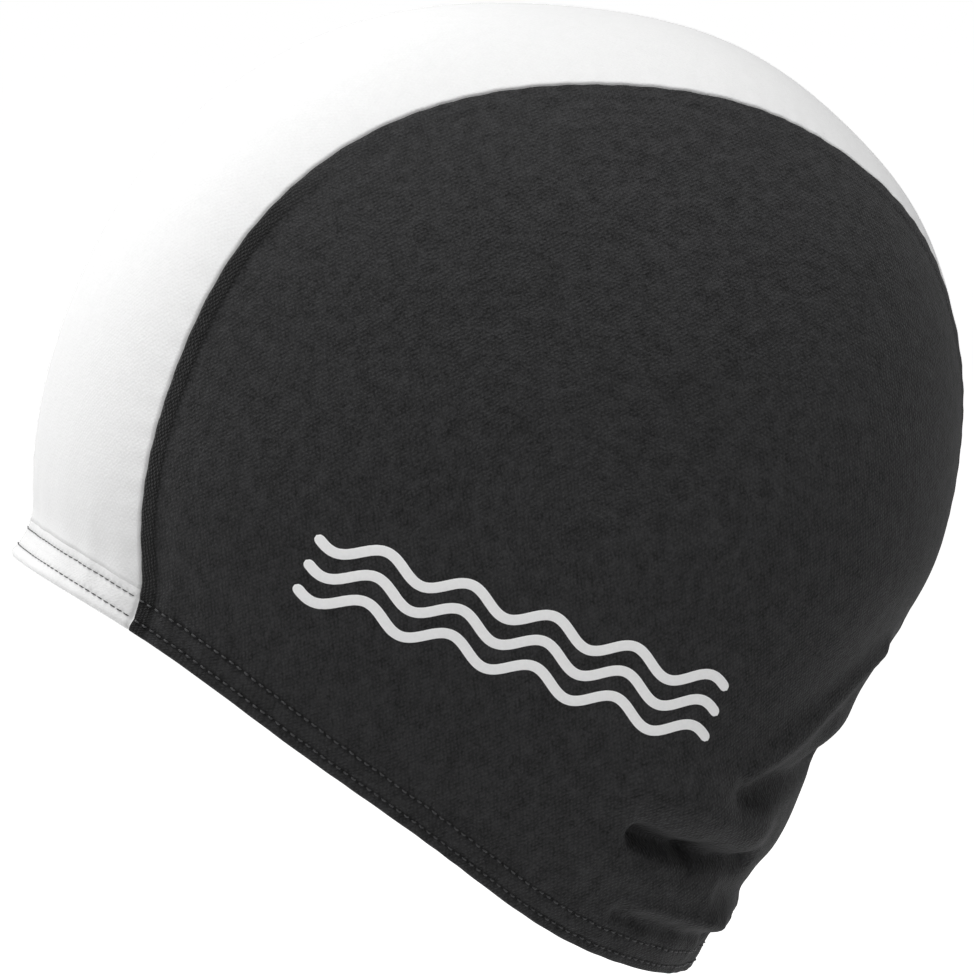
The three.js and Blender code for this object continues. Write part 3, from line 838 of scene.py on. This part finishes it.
def knit_material(name, colour, sizes, looks):
    """Warp-knitted polyester: matt from its fine loops, a little uneven from its yarn, and soft where light grazes it.
    looks says how it takes its colour, as in WHITE_KNIT."""
    material, tree = new_material(name)
    multiply, smooth = {"operation": "MULTIPLY"}, {"interpolation_type": "SMOOTHSTEP"}
    cloth = add_node(tree, "ShaderNodeAttribute", {"attribute_name": "cloth"}).outputs["Vector"]
    from_seam = add_node(tree, "ShaderNodeSeparateXYZ", {}, {0: cloth}).outputs["Z"]

    # Two crossing sets of slanting ridges stand for the two legs of each loop, twice as coarse as the real ones
    legs = []
    for slant in (LOOP_SLANT, -LOOP_SLANT):
        turned = add_node(tree, "ShaderNodeMapping", {}, {"Vector": cloth, "Rotation": (0, 0, slant)})
        scale = WAVE_PERIOD / (sizes.loop_spacing / MM)
        wave = {"Vector": turned.outputs[0], "Scale": scale, "Distortion": 3.0, "Detail": 2.0}
        legs.append(add_node(tree, "ShaderNodeTexWave", {"bands_direction": "Y"}, wave).outputs["Fac"])
    loops = add_node(tree, "ShaderNodeMath", multiply, {0: legs[0], 1: legs[1]}).outputs[0]
    patches = []
    for span in (YARN_SPAN, CLOUD_SPAN):
        noise = {"Vector": cloth, "Scale": 1 / span, "Detail": 3.0}
        patches.append(add_node(tree, "ShaderNodeTexNoise", {}, noise).outputs["Fac"])
    yarn, cloud = patches

    # Along the front of each seam, over the allowance, the cloth is painted darker as shade where it turns away, and
    # its loops stand out
    near = {"Value": from_seam}
    near.update({"From Min": ALLOWANCE_WIDTH + ALLOWANCE_FADE, "From Max": ALLOWANCE_WIDTH - ALLOWANCE_FADE})
    near_seam = add_node(tree, "ShaderNodeMapRange", smooth, near).outputs[0]
    toward = add_node(tree, "ShaderNodeVectorMath", {"operation": "DOT_PRODUCT"}, {0: cloth, 1: FRONT_DIRECTION})
    front = {"Value": toward.outputs["Value"], "From Min": FRONT_RANGE[0], "From Max": FRONT_RANGE[1]}
    at_front = add_node(tree, "ShaderNodeMapRange", smooth, front).outputs[0]
    band = add_node(tree, "ShaderNodeMath", multiply, {0: near_seam, 1: at_front}).outputs[0]

    # The knit's height, and the share of the colour that it lets through
    add_scaled = {"operation": "MULTIPLY_ADD"}
    show = add_node(tree, "ShaderNodeMath", add_scaled, {0: band, 1: BAND_LOOP_WEIGHT, 2: LOOP_WEIGHT}).outputs[0]
    shown_loops = add_node(tree, "ShaderNodeMath", multiply, {0: loops, 1: show}).outputs[0]
    uneven = add_node(tree, "ShaderNodeMath", add_scaled, {0: cloud, 1: CLOUD_WEIGHT, 2: shown_loops}).outputs[0]
    height = add_node(tree, "ShaderNodeMath", add_scaled, {0: yarn, 1: YARN_WEIGHT, 2: uneven}).outputs[0]
    tone = {"Value": height, "From Min": HEIGHT_RANGE[0], "From Max": HEIGHT_RANGE[1]}
    tone.update({"To Min": 1 - looks["grain"], "To Max": 1.0})
    cloth_tone = add_node(tree, "ShaderNodeMapRange", {}, tone).outputs[0]

    # Painted shade at the sewing: the band over the allowance where the cloth turns away, the gap of the seam line and
    # the needle's holes
    allowance = {"Value": band, "To Min": 1.0, "To Max": looks["allowance_painted_shade"]}
    allowance_painted_shade = add_node(tree, "ShaderNodeMapRange", {}, allowance).outputs[0]
    # The seam line is painted darker as the shade in the seam's gap
    line = {"Value": from_seam, "From Min": SEAM_LINE_RANGE[0], "From Max": SEAM_LINE_RANGE[1]}
    line.update({"To Min": looks["seam_gap_shade"], "To Max": 1.0})
    seam_gap_shade_tone = add_node(tree, "ShaderNodeMapRange", {}, line).outputs[0]
    # How near a needle's hole each point is, which darkens the colour as painted shade in the holes
    shade_at_holes = add_node(tree, "ShaderNodeAttribute", {"attribute_name": "shade_at_holes"}).outputs["Fac"]
    hole = {"Value": shade_at_holes, "To Min": 1.0, "To Max": looks["hole_shade_tone"]}
    hole_shade_tone = add_node(tree, "ShaderNodeMapRange", {}, hole).outputs[0]
    # The painted shade of the allowance band, the seam line and the needle's holes, taken together
    pulled = add_node(tree, "ShaderNodeMath", multiply, {0: seam_gap_shade_tone, 1: hole_shade_tone}).outputs[0]
    sewn = add_node(tree, "ShaderNodeMath", multiply, {0: allowance_painted_shade, 1: pulled}).outputs[0]

    lightness = add_node(tree, "ShaderNodeMath", multiply, {0: cloth_tone, 1: sewn}).outputs[0]
    shade = tuple(looks["shade"] * c for c in colour)
    mixed = {"Factor": lightness, "A": (*shade, 1), "B": (*colour, 1)}
    base = add_node(tree, "ShaderNodeMix", {"data_type": "RGBA"}, mixed)
    bump = add_node(tree, "ShaderNodeBump", {}, {"Strength": looks["relief"], "Distance": 0.0002, "Height": height})
    shader = {"Base Color": base.outputs["Result"], "Roughness": 0.8, "IOR": 1.5, "Specular IOR Level": 0.2}
    shader.update({"Sheen Weight": 0.05, "Sheen Roughness": 0.5, "Normal": bump.outputs["Normal"]})
    surface = add_node(tree, "ShaderNodeBsdfPrincipled", {}, shader)
    add_node(tree, "ShaderNodeOutputMaterial", {}, {"Surface": surface.outputs[0]})
    return material


def grained_material(name, colour, looks):
    """A plain colour with a fine unevenness in its tone and its height, as in THREAD_LOOKS and INK_LOOKS."""
    material, tree = new_material(name)
    position = add_node(tree, "ShaderNodeTexCoord").outputs["Object"]
    noise = {"Vector": position, "Scale": 1 / (looks["span"] * MM), "Detail": 2.0}
    grain = add_node(tree, "ShaderNodeTexNoise", {}, noise).outputs["Fac"]
    shade = tuple(looks["shade"] * c for c in colour)
    mixed = {"Factor": grain, "A": (*shade, 1), "B": (*colour, 1)}
    base = add_node(tree, "ShaderNodeMix", {"data_type": "RGBA"}, mixed)
    bump = add_node(tree, "ShaderNodeBump", {}, {"Strength": looks["relief"], "Distance": 0.0001, "Height": grain})
    shader = {"Base Color": base.outputs["Result"], "Roughness": looks["roughness"], "IOR": 1.5}
    shader.update({"Sheen Weight": looks["sheen"], "Normal": bump.outputs["Normal"]})
    surface = add_node(tree, "ShaderNodeBsdfPrincipled", {}, shader)
    add_node(tree, "ShaderNodeOutputMaterial", {}, {"Surface": surface.outputs[0]})
    return material


def paper_material(name):
    """White studio paper, matt, which glows where it is far from the cap: painted light that stands in for lamps
    lighting it from behind.
    """
    material, tree = new_material(name)
    position = add_node(tree, "ShaderNodeTexCoord").outputs["Object"]
    away = add_node(tree, "ShaderNodeVectorMath", {"operation": "LENGTH"}, {0: position}).outputs["Value"]
    lit = {"Value": away, "From Min": GLOW_RANGE[0], "From Max": GLOW_RANGE[1], "To Max": PAPER_GLOW}
    glow = add_node(tree, "ShaderNodeMapRange", {}, lit).outputs[0]
    shader = {"Base Color": (*linear_from_hex("#F7F7F7"), 1), "Roughness": 0.9}
    shader.update({"Emission Color": (1, 1, 1, 1), "Emission Strength": glow})
    surface = add_node(tree, "ShaderNodeBsdfPrincipled", {}, shader)
    add_node(tree, "ShaderNodeOutputMaterial", {}, {"Surface": surface.outputs[0]})
    return material


class CapClothSizes(bpy.types.PropertyGroup):
    """Sizes of the knitted cloth."""

    cloth_thickness: FloatProperty(
        name="Cloth thickness", description="Thickness of one layer of cloth", default=0.0009, unit="LENGTH"
    )
    loop_spacing: FloatProperty(
        name="Loop spacing", description="Distance between rows of loops", default=0.00075, unit="LENGTH"
    )
    stitch_length: FloatProperty(
        name="Stitch length", description="Length of one hem stitch", default=0.00195, unit="LENGTH"
    )
    thread_diameter: FloatProperty(
        name="Thread diameter", description="Diameter of the hem's thread", default=0.0003, unit="LENGTH"
    )
    print_line_width: FloatProperty(
        name="Print line width", description="Width of a printed wave line", default=0.0024, unit="LENGTH"
    )


class CapColours(bpy.types.PropertyGroup):
    """Colours of the cloth, the print and the thread."""

    white: FloatVectorProperty(
        name="White cloth", description="Colour of the strip",
        default=linear_from_hex("#DFDFDF"), subtype="COLOR", min=0, max=1,
    )
    black: FloatVectorProperty(
        name="Black cloth", description="Colour of the sides",
        default=linear_from_hex("#353536"), subtype="COLOR", min=0, max=1,
    )
    ink: FloatVectorProperty(
        name="Print ink", description="Colour of the print",
        default=linear_from_hex("#F6F6F6"), subtype="COLOR", min=0, max=1,
    )
    thread: FloatVectorProperty(
        name="Thread", description="Colour of the hem stitches",
        default=linear_from_hex("#404042"), subtype="COLOR", min=0, max=1,
    )


def white_cloth(scene):
    """The strip's cloth, made when it is first asked for."""
    name, colour = "white_polyester_warp_knit", tuple(scene.cap_colours.white)
    return bpy.data.materials.get(name) or knit_material(name, colour, scene.cap_cloth, WHITE_KNIT)


def black_cloth(scene):
    """The sides' cloth, made when it is first asked for."""
    name, colour = "black_polyester_warp_knit", tuple(scene.cap_colours.black)
    return bpy.data.materials.get(name) or knit_material(name, colour, scene.cap_cloth, BLACK_KNIT)


def black_thread(scene):
    """The hems' thread, made when it is first asked for."""
    name, colour = "black_spun_polyester_thread", tuple(scene.cap_colours.thread)
    return bpy.data.materials.get(name) or grained_material(name, colour, THREAD_LOOKS)


class CAP_OT_hems(bpy.types.Operator):
    """Make the turned hems round the head opening."""

    bl_idname = "swim_cap.hems"
    bl_label = "Hems"

    def execute(self, context):
        scene = context.scene
        for hem, slot in HEMS:
            material = white_cloth(scene) if slot == WHITE_SLOT else black_cloth(scene)
            build_hem(f"{hem}_hem_cloth", f"{hem}_hem", hem, scene.cap_cloth, material)
        return {"FINISHED"}


class CAP_OT_stitches(bpy.types.Operator):
    """Sew the hems with two rows of stitches."""

    bl_idname = "swim_cap.stitches"
    bl_label = "Hem Stitches"

    def execute(self, context):
        scene = context.scene
        for hem, slot in HEMS:
            build_stitches(f"{hem}_hem_stitches", hem, scene.cap_cloth, black_thread(scene), *STITCH_LOOKS[slot])
        return {"FINISHED"}


class CAP_OT_print(bpy.types.Operator):
    """Print plain wave lines on the left side panel."""

    bl_idname = "swim_cap.print"
    bl_label = "Side Print"

    def execute(self, context):
        ink = grained_material("white_screen_print_ink", tuple(context.scene.cap_colours.ink), INK_LOOKS)
        build_print("left_print", context.scene.cap_cloth, ink)
        return {"FINISHED"}


class CAP_OT_centre_panel(bpy.types.Operator):
    """Make the white strip that runs from the forehead over the crown to the nape."""

    bl_idname = "swim_cap.centre_panel"
    bl_label = "Centre Panel"

    def execute(self, context):
        piece = build_centre_panel(context.scene.cap_cloth, white_cloth(context.scene))
        return {"FINISHED"}


class CAP_OT_side_panels(bpy.types.Operator):
    """Make the two black side panels."""

    bl_idname = "swim_cap.side_panels"
    bl_label = "Side Panels"

    def execute(self, context):
        scene = context.scene
        for hand, side in (("left", 1), ("right", -1)):
            node = f"{hand}_panel"
            piece = build_side_panel(f"{node}_cloth", node, side, scene.cap_cloth, black_cloth(scene))
            trims = [bpy.data.objects[f"{hand}_hem_{part}"] for part in ("cloth", "stitches")]
            if side > 0:
                trims.append(bpy.data.objects["left_print"])
        return {"FINISHED"}


def add_floor(scene):
    """A round sheet of studio paper under the cap."""
    mesh = bpy.data.meshes.new("floor")
    shape = bmesh.new()
    bmesh.ops.create_circle(shape, cap_ends=True, segments=FLOOR_SIDES, radius=FLOOR_RADIUS)
    shape.to_mesh(mesh)
    shape.free()
    mesh.materials.append(paper_material("white_studio_paper"))
    floor = bpy.data.objects.new("floor", mesh)
    floor.location.z = FLOOR_HEIGHT
    scene.collection.objects.link(floor)


def add_light(scene, name, place, size, power):
    """A round softbox that faces the cap."""
    light = bpy.data.lights.new(name, "AREA")
    light.shape = "DISK"
    light.size = size
    light.energy = power
    lamp = bpy.data.objects.new(name, light)
    lamp.location = place
    lamp.rotation_euler = (Vector(LIGHT_AIM) - Vector(place)).to_track_quat("-Z", "Y").to_euler()
    scene.collection.objects.link(lamp)


def add_camera(scene):
    """A long lens on the wearer's left, turned a little to the front and raised."""
    level = math.cos(CAMERA_RISE)
    toward = Vector((level * math.cos(CAMERA_TURN), -level * math.sin(CAMERA_TURN), math.sin(CAMERA_RISE)))
    right = Vector((-toward.y, toward.x, 0)).normalized()
    up = toward.cross(right)
    camera_data = bpy.data.cameras.new("camera")
    camera_data.sensor_width = CAMERA_SENSOR
    camera_data.lens = CAMERA_LENS
    camera_data.clip_end = CAMERA_REACH
    camera = bpy.data.objects.new("camera", camera_data)
    camera.location = CAMERA_DISTANCE * toward
    aim = CAMERA_AIM[0] * right + CAMERA_AIM[1] * up
    camera.rotation_euler = (camera.location - aim).to_track_quat("Z", "Y").to_euler()
    scene.collection.objects.link(camera)
    scene.camera = camera


class CAP_OT_stage(bpy.types.Operator):
    """Set the pale floor, the soft lights and the camera."""

    bl_idname = "swim_cap.stage"
    bl_label = "Stage"

    def execute(self, context):
        scene = context.scene
        add_floor(scene)
        world = bpy.data.worlds.new("studio")
        world.use_nodes = True
        background = world.node_tree.nodes["Background"]
        background.inputs["Color"].default_value = (1, 1, 1, 1)
        background.inputs["Strength"].default_value = WORLD_STRENGTH
        scene.world = world
        for name, place, size, power in SOFTBOXES:
            add_light(scene, name, place, size, power)
        scene.view_settings.view_transform = "Standard"
        add_camera(scene)
        return {"FINISHED"}


OPERATORS = (CAP_OT_hems, CAP_OT_stitches, CAP_OT_print, CAP_OT_centre_panel, CAP_OT_side_panels, CAP_OT_stage)


class CAP_PT_panel(bpy.types.Panel):
    """The cap's sizes, colours and pieces, in the sidebar of the 3D view."""

    bl_label = "Swim Cap"
    bl_idname = "CAP_PT_panel"
    bl_space_type = "VIEW_3D"
    bl_region_type = "UI"
    bl_category = "Swim Cap"

    def draw(self, context):
        for group in (context.scene.cap_cloth, context.scene.cap_colours):
            for name in group.__annotations__:
                self.layout.prop(group, name)
        for operator in OPERATORS:
            self.layout.operator(operator.bl_idname)


CLASSES = (CapClothSizes, CapColours, *OPERATORS, CAP_PT_panel)


def register():
    for item in CLASSES:
        bpy.utils.register_class(item)
    bpy.types.Scene.cap_cloth = PointerProperty(type=CapClothSizes)
    bpy.types.Scene.cap_colours = PointerProperty(type=CapColours)


def unregister():
    del bpy.types.Scene.cap_colours
    del bpy.types.Scene.cap_cloth
    for item in reversed(CLASSES):
        bpy.utils.unregister_class(item)


def main():
    register()
    for operator in OPERATORS:
        group, name = operator.bl_idname.split(".")
        getattr(getattr(bpy.ops, group), name)()


if __name__ == "__main__":
    main()
